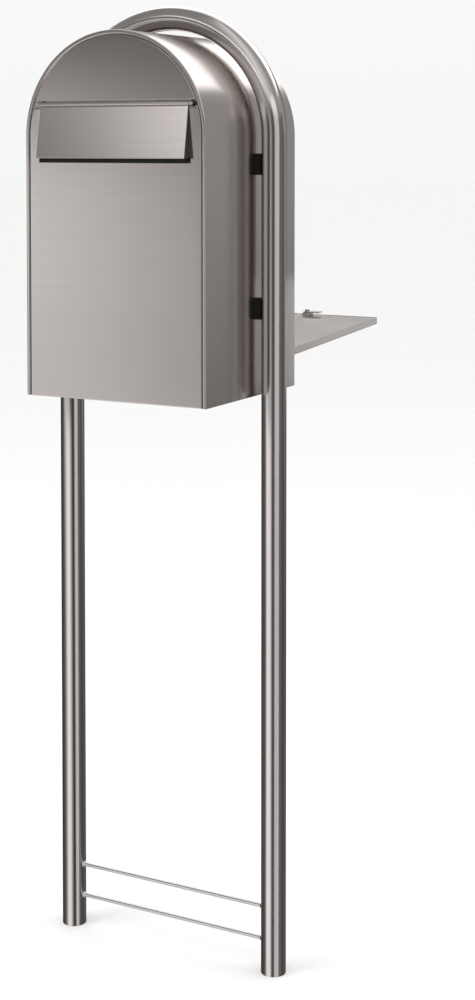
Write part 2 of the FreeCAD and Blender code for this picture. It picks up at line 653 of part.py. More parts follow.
def make_lock():
    """The cam lock: housing, nut, plug with its key slot, cam and the screw that holds it."""
    centre = ("0", LOCK_HEIGHT)
    end = f"({REAR} - lock_end)"
    barrel = rod("lock_barrel_rod", "y", "lock_barrel", (end, f"{REAR} + lock_head_thick / 2"), centre)
    head = rod("lock_head_rod", "y", "lock_head", (REAR, f"{REAR} + lock_head_thick"), centre)
    housing = cut("LockHousing", join("LockBody", barrel, head),
                  lock_hole("lock_bore", "plug_size + 2 * hinge_play"))
    seat = f"({REAR} - door_thick + liner_drop)"
    nut = cut("LockNut", hexagon("lock_nut_hex", "y", "lock_nut_size", (f"{seat} - lock_nut_thick", seat),
                                 centre), lock_hole("nut_bore", "lock_barrel"))
    core = rod("plug_core", "y", "plug_size", (end, f"{REAR} + lock_head_thick - 4 * hinge_play"), centre)
    half = "plug_square / 2"
    square = block("plug_end", (f"-{half}", half), (f"{end} - cam_gap - cam_sheet", end),
                   (f"{LOCK_HEIGHT} - {half}", f"{LOCK_HEIGHT} + {half}"))
    key = block("key_slot", ("-key_wide / 2", "key_wide / 2"),
                (f"{REAR} + lock_head_thick - key_deep", f"{REAR} + past"),
                (f"{LOCK_HEIGHT} - key_tall / 2", f"{LOCK_HEIGHT} + key_tall / 2"))
    thread = rod("cam_thread", "y", "cam_screw_size", (f"{end} - past", f"{end} + cam_screw_long - cam_sheet"),
                 centre)
    plug = cut("LockPlug", join("PlugBody", core, square), key, thread)
    cam_y = (f"{end} - cam_gap - cam_sheet", f"{end} - cam_gap")
    arm = block("cam_arm", ("0", "cam_reach"), cam_y,
                (f"{LOCK_HEIGHT} - cam_wide / 2", f"{LOCK_HEIGHT} + cam_wide / 2"))
    eye = rod("cam_eye", "y", "cam_wide", cam_y, centre)
    hole = block("cam_hole", (f"-{half} - hinge_play", f"{half} + hinge_play"),
                 (f"{end} - past", f"{end} + past"),
                 (f"{LOCK_HEIGHT} - {half} - hinge_play", f"{LOCK_HEIGHT} + {half} + hinge_play"))
    cam = cut("LockCam", join("CamBody", arm, eye), hole)
    screw_face = f"({end} - cam_gap - cam_sheet)"
    screw = join("CamScrew",
                 rod("cam_screw_head_rod", "y", "cam_screw_head",
                     (f"{screw_face} - cam_screw_head_thick", screw_face), centre),
                 rod("cam_screw_shank", "y", "cam_screw_size",
                     (f"{screw_face} - cam_gap", f"{end} + cam_screw_long - cam_sheet - cam_gap"), centre))
    return {"lock_housing": housing, "lock_nut": nut, "lock_plug": plug, "lock_cam": cam, "cam_screw": screw}


def swing_open(pieces, table):
    """Turn the closed door and its lock about the pins to where the tail meets the stops."""
    pivot = Vector(0, table.box_depth - table.front_reach - table.door_thick / 2,
                   table.box_base + table.pivot_height)
    swing = Placement(Vector(), Rotation(Vector(1, 0, 0), table.door_tilt - 90), pivot)
    for node, piece in pieces.items():
        piece.Placement = swing
        keep(node, piece)


def check_and_write():
    """Stop on any failed object, then write one STEP file for each sub-part."""
    doc.recompute()
    failed = [thing.Name for thing in doc.Objects if {"Invalid", "Error"} & set(thing.State)]
    failed += [thing.Label for thing in parts if thing.Shape.isNull() or not thing.Shape.isValid()]
    if failed:
        raise SystemExit(f"failed objects: {failed}")
    os.makedirs("parts", exist_ok=True)
    for thing in parts:
        thing.Shape.exportStep(f"parts/{thing.Label}.step")
        print(f"{thing.Label}: {len(thing.Shape.Solids)} solid(s), {thing.Shape.Volume:.0f} mm3")


sizes = make_sheet()
make_stand()
make_stand_fixings()
make_shell()
make_floor()
make_front()
make_hinge_channel()
make_slot_frame()
keep("slot_frame_screws", group("FrameScrews", *spread("frame_screw", frame_screw_points(), make_frame_screw)))
make_bumpers()
make_flap()
make_flap_hinge()
make_rear_panel()
make_door_frame_pieces()
swing_open({**make_door(), **make_lock()}, sizes)
check_and_write()
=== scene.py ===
"""A round-topped satin steel mailbox on an inverted-U tube stand, dressed around its CAD frame."""
import bmesh
import bpy
import json
import math
from mathutils import Matrix, Vector
from mathutils.geometry import tessellate_polygon


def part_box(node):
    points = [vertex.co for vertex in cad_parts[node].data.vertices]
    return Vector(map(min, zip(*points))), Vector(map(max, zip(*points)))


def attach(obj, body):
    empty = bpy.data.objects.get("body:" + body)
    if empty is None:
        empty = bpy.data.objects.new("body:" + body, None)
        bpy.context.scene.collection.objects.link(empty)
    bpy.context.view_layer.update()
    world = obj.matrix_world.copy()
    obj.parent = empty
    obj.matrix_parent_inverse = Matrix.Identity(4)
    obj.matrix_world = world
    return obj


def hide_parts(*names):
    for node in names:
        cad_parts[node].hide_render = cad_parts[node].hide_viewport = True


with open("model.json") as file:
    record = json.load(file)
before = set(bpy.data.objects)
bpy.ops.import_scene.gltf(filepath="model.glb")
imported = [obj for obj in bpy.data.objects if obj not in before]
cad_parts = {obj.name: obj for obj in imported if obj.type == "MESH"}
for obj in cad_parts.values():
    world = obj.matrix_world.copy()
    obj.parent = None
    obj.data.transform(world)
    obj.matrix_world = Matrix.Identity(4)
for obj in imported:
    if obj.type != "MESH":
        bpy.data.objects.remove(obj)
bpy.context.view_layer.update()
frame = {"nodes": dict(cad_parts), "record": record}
NODES = frame["nodes"]
JOINTS = {joint["name"]: joint for joint in frame["record"]["behaviour"]["joints"]}

MM = 0.001
STAND = "stand_and_box"

# Sheet thicknesses, folds and gaps, as the CAD parts have them.
SHELL_SHEET = 1.5 * MM
PANEL_SHEET = 1.2 * MM
RIM_WIDTH = 6.5 * MM
RIM_RETURN = 12 * MM
PANEL_GAP = 1 * MM
PANEL_RETURN = 11 * MM
DOME_FOLD = 7 * MM
DOME_FOLD_HALF = 137.5 * MM
DOME_FOLD_NOTCH = 0.3 * MM
JAMB_DEPTH = 17 * MM
FLOOR_CLEAR = 1.6 * MM
KEEPER_HALF = 70 * MM
KEEPER_TALL = 10 * MM
DOOR_GAP = 1.2 * MM
DOOR_TILT = 3.5
DOOR_LOW = 3 * MM
DOOR_TOP = 430 * MM
LOCK_DROP = 18.7 * MM
DOOR_SHEET = 1.5 * MM
LINER_FIT = 0.15 * MM
LINER_DROP = 0.5 * MM
LOCK_HOLE = 8 * MM
TUBE_WALL = 2 * MM
SLOT_HALF = 121 * MM
SLOT_LOW = 360 * MM
SLOT_HIGH = 428 * MM
FLAP_LIP = 4.5 * MM
FLAP_TOP_FOLD = 3.2 * MM
FLAP_AXIS_STAND = 1.1 * MM
FLAP_BACK_GAP = 0.3 * MM
FLAP_ROLL_INSET = 0.5 * MM
FLAP_CORNER = 1.4 * MM
FLAP_TOP_ON_ROLL = 0.72
ROD_PLAY = 0.05 * MM

# Outer radii of the folds.
SHELL_BEND = 1.15 * MM
PANEL_BEND = 0.9 * MM
FLAP_BEND = 1.1 * MM
DOOR_BEND = 1.3 * MM
LINER_BEND = 0.3 * MM

# A weld bead's outline: millimetres past the leg's inner face, and out from the rod.
WELD_BEAD = ((-3.4, 0.0), (-2.4, 0.5), (-1.2, 1.1), (0.6, 1.7), (1.2, 1.2))

# Mesh building: smallest edge kept, angle above which an edge is a crease, and how near counts as at.
WELD = 0.004 * MM
CREASE = 38
NEAR = 0.1 * MM
FOLD_STEPS = 4
ROUND_TOP_STEPS = 72
FLOOR_HALF = 60.0

# Camera: 28 degrees to the right of the front, at the height of the slot, looking slightly down.
CAMERA_PLACE = (1.3653, -2.3073, 1.2564)
CAMERA_TURN = 28.378
CAMERA_DROP = 2.4655
CAMERA_LENS = 62.551
CAMERA_SHIFT = -0.28
CAMERA_SENSOR = 36.0


# Lights: name, place, aim, size, power, and whether only mirroring surfaces see it.
LIGHTS = (
    ("key", (-2.2, -2.6, 3.4), (0, 0, 0.7), (2.2, 2.2), 60, False),
    ("fill", (2.6, 1.0, 2.8), (0, 0, 0.8), (2.6, 2.6), 25, False),
    ("left_box", (-0.36, -1.05, -0.02), (-0.36, 0, -0.02), (0.88, 1.36), 2.3, True),
    ("left_edge", (0.19, -1.05, -0.02), (0.19, 0, -0.02), (0.22, 1.36), 0.24, True),
    ("right_box", (0.66, -0.41, 0.45), (-0.31, -0.18, 0.45), (0.51, 2.3), 2.3, True),
    ("tray_side_box", (0.36, 0.80, 0.88), (0.36, 0, 0.88), (0.30, 0.22), 0.09, True),
)


# ------------------------------------------------------------------ node helpers

class Tree:
    """A node tree with short ways to add a node and to feed its sockets."""

    def __init__(self, tree):
        self.tree = tree
        tree.nodes.clear()

    def add(self, kind, **settings):
        """A new node with its settings."""
        node = self.tree.nodes.new(kind)
        for name, value in settings.items():
            setattr(node, name, value)
        return node

    def feed(self, node, **inputs):
        """Set sockets by name (spaces as underscores): a socket is linked, a value is set."""
        for name, value in inputs.items():
            socket = node.inputs[name.replace("_", " ")]
            if isinstance(value, bpy.types.NodeSocket):
                self.tree.links.new(value, socket)
            else:
                socket.default_value = value
        return node

    def math(self, operation, first, second=0.0, third=0.0):
        """One step of arithmetic on sockets or numbers."""
        node = self.add("ShaderNodeMath", operation=operation)
        for socket, value in zip(node.inputs, (first, second, third)):
            if isinstance(value, bpy.types.NodeSocket):
                self.tree.links.new(value, socket)
            else:
                socket.default_value = value
        return node.outputs[0]

    def vector(self, operation, first, second=(0, 0, 0)):
        """One step of vector arithmetic on sockets or vectors."""
        node = self.add("ShaderNodeVectorMath", operation=operation)
        for socket, value in zip(node.inputs, (first, second)):
            if isinstance(value, bpy.types.NodeSocket):
                self.tree.links.new(value, socket)
            else:
                socket.default_value = value
        return node.outputs[0]

    def place(self, stretch=(1, 1, 1)):
        """Object coordinates, stretched."""
        coordinates = self.add("ShaderNodeTexCoord")
        return self.vector("MULTIPLY", coordinates.outputs["Object"], stretch)

    def noise(self, stretch, scale=1.0, detail=3.0, rough=0.5):
        """Noise over the stretched object coordinates."""
        node = self.add("ShaderNodeTexNoise")
        self.feed(node, Vector=self.place(stretch), Scale=scale, Detail=detail, Roughness=rough)
        return node.outputs["Fac"]

    def ramp(self, factor, stops):
        """A colour ramp from (position, brightness or colour) stops."""
        node = self.add("ShaderNodeValToRGB")
        self.feed(node, Fac=factor)
        band = node.color_ramp
        while len(band.elements) < len(stops):
            band.elements.new(0.5)
        for element, (position, colour) in zip(band.elements, stops):
            element.position = position
            grey = isinstance(colour, (int, float))
            element.color = (colour, colour, colour, 1) if grey else (*colour, 1)
        return node.outputs["Color"]

    def remap(self, value, low, high):
        """A 0 to 1 value spread from low to high."""
        return self.math("MULTIPLY_ADD", value, high - low, low)

    def bump(self, height, strength, distance):
        """A normal bumped by a height."""
        node = self.add("ShaderNodeBump")
        self.feed(node, Height=height, Strength=strength, Distance=distance)
        return node.outputs["Normal"]


def new_material(name, roughness, metallic, **settings):
    """A Principled material; its tree, its shader and itself."""
    material = bpy.data.materials.new(name)
    material.use_nodes = True
    tree = Tree(material.node_tree)
    shader = tree.add("ShaderNodeBsdfPrincipled")
    output = tree.add("ShaderNodeOutputMaterial")
    material.node_tree.links.new(shader.outputs[0], output.inputs["Surface"])
    tree.feed(shader, Roughness=roughness, Metallic=metallic, **settings)
    return tree, shader, material


# ------------------------------------------------------------------ materials

def tint(tree, amount, dark, light):
    """A colour between dark and light."""
    mix = tree.add("ShaderNodeMix", data_type="RGBA")
    tree.tree.links.new(amount, mix.inputs["Factor"])
    mix.inputs["A"].default_value = (*dark, 1)
    mix.inputs["B"].default_value = (*light, 1)
    return mix.outputs["Result"]


def brushed_sheet(name, grain, blur, roughness, smear=0.5, tone=1.0):
    """Satin stainless sheet: fine lines run along the brushing and smear reflections across it.

    grain is the stretch that makes noise into lines along the brushing; blur is the way in which
    reflections smear, and smear how much; tone scales the steel's colour.
    """
    tree, shader, material = new_material(name, roughness, 1.0, Anisotropic=smear)
    lines = tree.noise(grain, 1.0, 4.0, 0.65)
    broad = tree.noise(tuple(0.12 * value for value in grain), 1.0, 3.0)
    cloud = tree.noise((1, 1, 1), 7.0, 4.0, 0.6)
    mixed = tree.math("MULTIPLY_ADD", broad, 0.35, tree.math("MULTIPLY", cloud, 0.65))
    warm = (0.585 * tone, 0.540 * tone, 0.520 * tone)
    pale = (0.660 * tone, 0.615 * tone, 0.595 * tone)
    colour = tint(tree, mixed, warm, pale)
    rough = tree.math("ADD", tree.remap(lines, roughness - 0.04, roughness + 0.05),
                      tree.remap(cloud, -0.025, 0.025))
    normal = tree.add("ShaderNodeNewGeometry").outputs["Normal"]
    tangent = tree.vector("CROSS_PRODUCT", tree.vector("CROSS_PRODUCT", normal, blur), normal)
    tree.feed(shader, Base_Color=colour, Roughness=rough, Tangent=tangent,
              Normal=tree.bump(lines, 0.07, 0.00012))
    return material


def satin_tube():
    """Stainless tube, polished along its length, with faint lengthwise lines and rubs."""
    tree, shader, material = new_material("satin_tube", 0.17, 1.0)
    lines = tree.noise((900, 900, 5), 1.0, 3.0, 0.6)
    rubs = tree.noise((9, 9, 2.2), 1.0, 4.0, 0.6)
    colour = tint(tree, rubs, (0.60, 0.565, 0.55), (0.69, 0.655, 0.64))
    rough = tree.math("ADD", tree.remap(lines, 0.13, 0.19), tree.remap(rubs, -0.03, 0.04))
    tree.feed(shader, Base_Color=colour, Roughness=rough, Normal=tree.bump(lines, 0.05, 0.0001))
    return material


def drawn_rod():
    """Plain drawn stainless rod."""
    tree, shader, material = new_material("drawn_rod", 0.2, 1.0)
    lines = tree.noise((6, 1200, 1200), 1.0, 3.0, 0.6)
    colour = tint(tree, lines, (0.60, 0.58, 0.57), (0.70, 0.68, 0.67))
    tree.feed(shader, Base_Color=colour, Roughness=tree.remap(lines, 0.14, 0.28),
              Normal=tree.bump(lines, 0.08, 0.0001))
    return material


def plated_steel():
    """Zinc plating: a little spangle and stain."""
    tree, shader, material = new_material("plated_steel", 0.3, 1.0)
    spangle = tree.noise((1, 1, 1), 420.0, 3.0, 0.6)
    colour = tint(tree, spangle, (0.55, 0.56, 0.57), (0.74, 0.74, 0.72))
    tree.feed(shader, Base_Color=colour, Roughness=tree.remap(spangle, 0.2, 0.42),
              Normal=tree.bump(spangle, 0.1, 0.0001))
    return material


def lock_chrome():
    """Polished nickel with fine turning marks and light key wear."""
    tree, shader, material = new_material("lock_chrome", 0.1, 1.0)
    wear = tree.noise((1, 1, 1), 260.0, 4.0, 0.65)
    colour = tint(tree, wear, (0.70, 0.69, 0.67), (0.82, 0.81, 0.79))
    tree.feed(shader, Base_Color=colour, Roughness=tree.remap(wear, 0.06, 0.2),
              Normal=tree.bump(wear, 0.04, 0.0001))
    return material


def moulded(name, dark, light, grain, rough):
    """Moulded plastic or rubber with a fine spark-eroded grain."""
    tree, shader, material = new_material(name, rough, 0.0, Specular_IOR_Level=0.18)
    fine = tree.noise((1, 1, 1), grain, 3.0, 0.6)
    broad = tree.noise((1, 1, 1), 40.0, 3.0, 0.5)
    tree.feed(shader, Base_Color=tint(tree, broad, dark, light),
              Roughness=tree.remap(fine, rough - 0.08, rough + 0.1),
              Normal=tree.bump(fine, 0.25, 0.0002))
    return material


def floor_paint():
    """Pale matt studio floor with a faint mottle."""
    tree, shader, material = new_material("studio_floor", 0.75, 0.0, Specular_IOR_Level=0.2)
    mottle = tree.noise((1, 1, 1), 1.3, 3.0)
    tree.feed(shader, Base_Color=tint(tree, mottle, (0.86, 0.86, 0.855), (0.885, 0.885, 0.88)))
    return material


MATERIALS = {
    "satin_front": brushed_sheet("satin_front", (4, 900, 900), (0, 0, 1), 0.15, 0.2),
    "satin_wrap": brushed_sheet("satin_wrap", (900, 900, 4), (0, 1, 0), 0.16, 0.6, 0.98),
    "satin_door": brushed_sheet("satin_door", (4, 900, 900), (0, 1, 0.05), 0.24),
    "satin_tube": satin_tube(),
    "drawn_rod": drawn_rod(),
    "plated_steel": plated_steel(),
    "lock_chrome": lock_chrome(),
    "black_plastic": moulded("black_plastic", (0.008, 0.0075, 0.008), (0.014, 0.013, 0.014),
                             1500.0, 0.5),
    "black_rubber": moulded("black_rubber", (0.005, 0.005, 0.005), (0.011, 0.011, 0.011),
                            1100.0, 0.68),
    "bush_nylon": moulded("bush_nylon", (0.03, 0.03, 0.032), (0.05, 0.05, 0.053), 700.0, 0.5),
}
NODE_MATERIAL = {
    "front_panel": "satin_front", "front_dome_panel": "satin_front", "hinge_channel": "satin_front",
    "slot_flap": "satin_front", "rear_panel": "satin_front", "flap_bracket_left": "satin_front",
    "flap_bracket_right": "satin_front", "shell_wrap": "satin_wrap", "bottom_plate": "satin_door",
    "door_skin": "satin_door", "door_liner": "satin_door", "door_stop_left": "satin_door",
    "door_stop_right": "satin_door",
}
# Width of the small round along hard edges, in millimetres.
EDGE_ROUND = {
    "slot_frame": 0.8, "bottom_plate": 0.3, "door_stop_left": 0.3, "door_stop_right": 0.3,
    "flap_bumpers": 0.4, "door_stop_pads": 0.3, "lock_housing": 0.4, "lock_nut": 0.3, "lock_plug": 0.25,
    "lock_cam": 0.3, "cam_screw": 0.3, "stand_bolts": 0.35, "stand_washers": 0.2, "rivet_nuts": 0.15,
    "slot_frame_screws": 0.3, "hinge_channel": 0.2,
}


def node_material(node):
    """The material that a CAD node, or a piece that stands for it, is finished in."""
    slots = {row["node"]: row["material_slot"] for row in frame["record"]["subparts"]}
    return MATERIALS[NODE_MATERIAL.get(node, slots[node])]


def dress_nodes():
    """Give every CAD node its material, and the listed nodes and the spacers that are shown a small
    round along their hard edges.
    """
    for name, thing in NODES.items():
        thing.data.materials.clear()
        thing.data.materials.append(node_material(name))
        size = EDGE_ROUND.get(name, 1.2 if name.startswith("spacer") else 0.0)
        if size and not thing.hide_render:
            thing.modifiers.new("weld", "WELD").merge_threshold = 0.01 * MM
            round_edges(thing, size * MM)


def stand_in(thing, body, node):
    """Put a new piece on a body in place of the CAD node that it shows, in that node's finish."""
    thing.data.materials.append(node_material(node))
    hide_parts(node)
    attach(thing, body)


# ------------------------------------------------------------------ mesh helpers

def new_piece(name, points, faces):
    """A smooth-shaded object of its own, with outward normals and sharp creases kept."""
    mesh = bpy.data.meshes.new(name)
    mesh.from_pydata([tuple(point) for point in points], [], faces)
    work = bmesh.new()
    work.from_mesh(mesh)
    bmesh.ops.remove_doubles(work, verts=work.verts, dist=WELD)
    bmesh.ops.dissolve_degenerate(work, edges=work.edges, dist=WELD)
    bmesh.ops.recalc_face_normals(work, faces=work.faces)
    for face in work.faces:
        face.smooth = True
    work.to_mesh(mesh)
    work.free()
    mesh.set_sharp_from_angle(angle=math.radians(CREASE))
    thing = bpy.data.objects.new(name, mesh)
    bpy.context.scene.collection.objects.link(thing)
    thing.modifiers.new("flat_faces", "WEIGHTED_NORMAL").keep_sharp = True
    return thing


def skin(rings, wrap=False, caps=True):
    """Points and faces of a skin over closed rings that all have the same number of points."""
    size = len(rings[0])
    points = [point for ring in rings for point in ring]
    faces = []
    for first in range(len(rings) if wrap else len(rings) - 1):
        low, high = first * size, (first + 1) % len(rings) * size
        faces += [(low + a, low + (a + 1) % size, high + (a + 1) % size, high + a) for a in range(size)]
    if caps and not wrap:
        faces += [tuple(range(size)), tuple(range(len(points) - size, len(points)))]
    return points, faces


def joined(*shells):
    """Several (points, faces) shells as one."""
    points, faces = [], []
    for more_points, more_faces in shells:
        faces += [tuple(index + len(points) for index in face) for face in more_faces]
        points += list(more_points)
    return points, faces


def turned(shell, matrix):
    """A shell moved by a matrix."""
    points, faces = shell
    return [matrix @ Vector(point) for point in points], faces


def arc(centre, radius, start, end, steps):
    """Points on an arc in a plane, angles in degrees."""
    angles = [math.radians(start + (end - start) * step / steps) for step in range(steps + 1)]
    return [(centre[0] + radius * math.cos(a), centre[1] + radius * math.sin(a)) for a in angles]


def circle(centre, radius, steps, clockwise=False):
    """A closed loop round a centre."""
    end = -360 if clockwise else 360
    return arc(centre, radius, 0, end, steps)[:-1]


def bent_line(corners, radius, steps=6):
    """A polyline whose corners are bent to arcs: places along it and the normal at each."""
    line = [Vector(corner) for corner in corners]

    def left(way):
        return Vector((-way.y, way.x))

    places = [(line[0], left((line[1] - line[0]).normalized()))]
    for before, corner, after in zip(line, line[1:], line[2:]):
        way_in = (corner - before).normalized()
        way_out = (after - corner).normalized()
        turn = math.atan2(way_in.cross(way_out), way_in.dot(way_out))
        side = math.copysign(radius, turn)
        centre = corner - way_in * radius * math.tan(abs(turn) / 2) + left(way_in) * side
        for step in range(steps + 1):
            normal = Matrix.Rotation(turn * step / steps, 2) @ left(way_in)
            places.append((centre - normal * side, normal))
    places.append((line[-1], left((line[-1] - line[-2]).normalized())))
    return places


def bent_sheet(corners, sheet, radius):
    """The closed section of a bent sheet whose middle follows the corners."""
    places = bent_line(corners, radius)
    outer = [place + normal * sheet / 2 for place, normal in places]
    inner = [place - normal * sheet / 2 for place, normal in places]
    return outer + inner[::-1]


def inset(loop, distance):
    """A closed loop moved to its left by a distance, mitred at its corners."""
    result = []
    for index, point in enumerate(loop):
        here = Vector(point)
        way_in = (here - Vector(loop[index - 1])).normalized()
        way_out = (Vector(loop[(index + 1) % len(loop)]) - here).normalized()
        first = Vector((-way_in.y, way_in.x))
        second = Vector((-way_out.y, way_out.x))
        result.append(here + (first + second) * distance / (1 + first.dot(second)))
    return result


def pan(outline, holes, face, inward, sheet, depth, bend):
    """A sheet panel facing along Y with its edges folded in.

    outline runs anticlockwise and holes clockwise, in X and Z. face(x, z) is the outer face's Y and
    inward its way in; depth(x, z) is how far the edge reaches back there; bend is the outer radius.
    """
    shells = []
    front_loops, back_loops = [], []
    for loop, reach in [(outline, depth)] + [(hole, lambda x, z: sheet) for hole in holes]:
        def ring(distance, back):
            moved = inset(loop, distance) if distance else [Vector(point) for point in loop]
            return [Vector((x, face(x, z) + inward * (back if back is not None else reach(*edge)), z))
                    for (x, z), edge in zip(moved, loop)]
        rings = []
        for step in range(FOLD_STEPS + 1):
            angle = math.radians(90 * step / FOLD_STEPS)
            rings.append(ring(bend * (1 - math.sin(angle)), bend * (1 - math.cos(angle))))
        rings += [ring(0, None), ring(sheet, None), ring(sheet, sheet)]
        shells.append(skin(rings, caps=False))
        front_loops.append(rings[0])
        back_loops.append(rings[-1])
    for loops in (front_loops, back_loops):
        points = [point for loop in loops for point in loop]
        flat = [[Vector((point.x, point.z, 0)) for point in loop] for loop in loops]
        shells.append((points, [tuple(face_points) for face_points in tessellate_polygon(flat)]))
    return joined(*shells)


def slab(low, high):
    """A plain rectangular bar between two corners, one part of a larger piece."""
    rings = [[(low[0], y, low[2]), (high[0], y, low[2]), (high[0], y, high[2]), (low[0], y, high[2])]
             for y in (low[1], high[1])]
    return skin(rings)


def round_edges(thing, size):
    """A small round along a piece's hard edges."""
    bevel = thing.modifiers.new("edge", "BEVEL")
    bevel.width = size
    bevel.segments = 3
    bevel.limit_method = "ANGLE"
    bevel.angle_limit = math.radians(CREASE)
    bevel.harden_normals = True


# ------------------------------------------------------------------ the box

def make_shell():
    """The wrap: one bent section swept up one side, over the round top and down the other."""
    low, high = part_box("shell_wrap")
    half, base, centre = high[0], low[2], high[2] - high[0]
    half_sheet = SHELL_SHEET / 2
    rim = half - RIM_WIDTH + half_sheet
    front, rear = low[1] + half_sheet, high[1] - half_sheet
    wall = half - half_sheet
    section = bent_sheet([(low[1] + RIM_RETURN, rim), (front, rim), (front, wall), (rear, wall),
                          (rear, rim), (high[1] - RIM_RETURN, rim)], SHELL_SHEET, SHELL_BEND)

    def foot(side):
        """The lowest ring: the folded-in returns stop just above the floor plate."""
        returned = half - RIM_WIDTH + 2 * SHELL_SHEET
        clear = [low[1] + 2 * SHELL_SHEET < y < high[1] - 2 * SHELL_SHEET and r < returned
                 for y, r in section]
        return [(side * r, y, base + (FLOOR_CLEAR if lifted else 0))
                for (y, r), lifted in zip(section, clear)]

    rings = [foot(-1)]
    for step in range(ROUND_TOP_STEPS + 1):
        angle = math.radians(180 * step / ROUND_TOP_STEPS)
        rings.append([(-r * math.cos(angle), y, centre + r * math.sin(angle)) for y, r in section])
    rings.append(foot(1))
    stand_in(new_piece("steel_wrap", *skin(rings)), STAND, "shell_wrap")


def arch_side(half, centre, start, end, steps):
    """Points of a round top between two angles from the right."""
    return arc((0, centre), half, start, end, steps)


def make_front():
    """The lower front panel with the letter slot, and the dome panel above it."""
    low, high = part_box("front_panel")
    box_low, box_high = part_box("shell_wrap")
    half, centre = high[0], box_high[2] - box_high[0]
    lean = math.degrees(math.asin((high[2] - centre) / half))
    outline = [(-half, low[2]), (half, low[2])] + arch_side(half, centre, 0, lean, 10)
    outline += arch_side(half, centre, 180 - lean, 180, 10)
    slot_low, slot_high = box_low[2] + SLOT_LOW, box_low[2] + SLOT_HIGH
    slot = [(-SLOT_HALF, slot_low), (-SLOT_HALF, slot_high), (SLOT_HALF, slot_high),
            (SLOT_HALF, slot_low)]
    side = half * math.cos(math.radians(lean))

    def folded(x, z):
        return PANEL_RETURN if abs(x) > side and low[2] + MM < z < high[2] - MM else PANEL_SHEET

    right_foot, left_foot = (half, low[2] + FLOOR_CLEAR), (-half, low[2] + FLOOR_CLEAR)
    outline = outline[:2] + [right_foot] + outline[2:] + [left_foot]
    shell = pan(outline, [slot], lambda x, z: low[1], 1, PANEL_SHEET, folded, PANEL_BEND)
    stand_in(new_piece("front_sheet", *shell), STAND, "front_panel")

    dome_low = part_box("front_dome_panel")[0]
    lean = math.degrees(math.asin((dome_low[2] - centre) / half))
    fold = DOME_FOLD_HALF
    outline = [(-fold - DOME_FOLD_NOTCH, dome_low[2]), (-fold, dome_low[2]), (fold, dome_low[2]),
               (fold + DOME_FOLD_NOTCH, dome_low[2])]
    outline += arch_side(half, centre, lean, 180 - lean, ROUND_TOP_STEPS)

    def dome_folded(x, z):
        return DOME_FOLD if z < dome_low[2] + NEAR and abs(x) < fold + NEAR else PANEL_SHEET

    shell = pan(outline, [], lambda x, z: dome_low[1], 1, PANEL_SHEET, dome_folded, PANEL_BEND)
    stand_in(new_piece("dome_sheet", *shell), STAND, "front_dome_panel")


def make_rear():
    """The rear panel: returns along its sides, jambs round the door opening and the keeper lip."""
    low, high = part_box("rear_panel")
    box_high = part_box("shell_wrap")[1]
    half, base, centre = high[0], low[2], box_high[2] - box_high[0]
    door_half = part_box("door_skin")[1][0]
    opening_half = door_half + DOOR_GAP
    opening_top = base + DOOR_TOP + DOOR_GAP
    foot = base + FLOOR_CLEAR
    outline = [(opening_half, base), (half, base), (half, foot)]
    outline += arch_side(half, centre, 0, 180, ROUND_TOP_STEPS)
    outline += [(-half, foot), (-half, base), (-opening_half, base), (-opening_half, foot),
                (-opening_half, opening_top), (opening_half, opening_top), (opening_half, foot)]

    def folded(x, z):
        if z < base + MM:
            return PANEL_SHEET
        if abs(x) < opening_half + MM and z < opening_top + MM:
            return JAMB_DEPTH
        return PANEL_RETURN if abs(x) > half - MM and z < centre + MM else PANEL_SHEET

    shell = pan(outline, [], lambda x, z: high[1], -1, PANEL_SHEET, folded, PANEL_BEND)
    keeper = slab((-KEEPER_HALF, high[1] - JAMB_DEPTH, opening_top),
                  (KEEPER_HALF, high[1] - JAMB_DEPTH + PANEL_SHEET, opening_top + KEEPER_TALL))
    stand_in(new_piece("rear_sheet", *joined(shell, keeper)), STAND, "rear_panel")


def make_flap():
    """The letter flap: a leaning pan with cheeks and a lip, and the roll that it turns on."""
    low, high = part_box("slot_flap")
    box_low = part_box("shell_wrap")[0]
    axis_y, axis_z = JOINTS["flap_hinge"]["pos_m"][1:]
    half, bottom = high[0], low[2]
    rod_low, rod_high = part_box("flap_rod")
    bore = (rod_high[2] - rod_low[2]) / 2 + ROD_PLAY
    roll = high[2] - axis_z
    front, stand = box_low[1], box_low[1] - low[1]
    top = axis_z - FLAP_TOP_ON_ROLL * roll

    def lean(z):
        return FLAP_AXIS_STAND + (stand - FLAP_AXIS_STAND) * (axis_z - z) / (axis_z - bottom)

    def folded(x, z):
        if z > top - NEAR:
            return FLAP_TOP_FOLD
        if abs(x) > half - MM and z > bottom + NEAR:
            return max(lean(z) + FLAP_BACK_GAP - FLAP_ROLL_INSET, PANEL_SHEET)
        return FLAP_LIP

    cheek_low, cheek_high = bottom + FLAP_CORNER, top - FLAP_CORNER
    outline = [(-half, bottom), (half, bottom), (half, cheek_low), (half, cheek_high), (half, top),
               (-half, top), (-half, cheek_high), (-half, cheek_low)]
    shell = pan(outline, [], lambda x, z: front - lean(z), 1, PANEL_SHEET, folded, FLAP_BEND)
    steps = 40
    roll_half = half - FLAP_ROLL_INSET
    outer = circle((axis_y, axis_z), roll, steps)
    inner = circle((axis_y, axis_z), bore, steps)
    rings = [[(x, y, z) for y, z in loop] for x, loop in
             ((-roll_half, inner), (-roll_half, outer), (roll_half, outer), (roll_half, inner))]
    thing = new_piece("flap_sheet", *joined(shell, skin(rings, wrap=True)))
    stand_in(thing, "flap", "slot_flap")


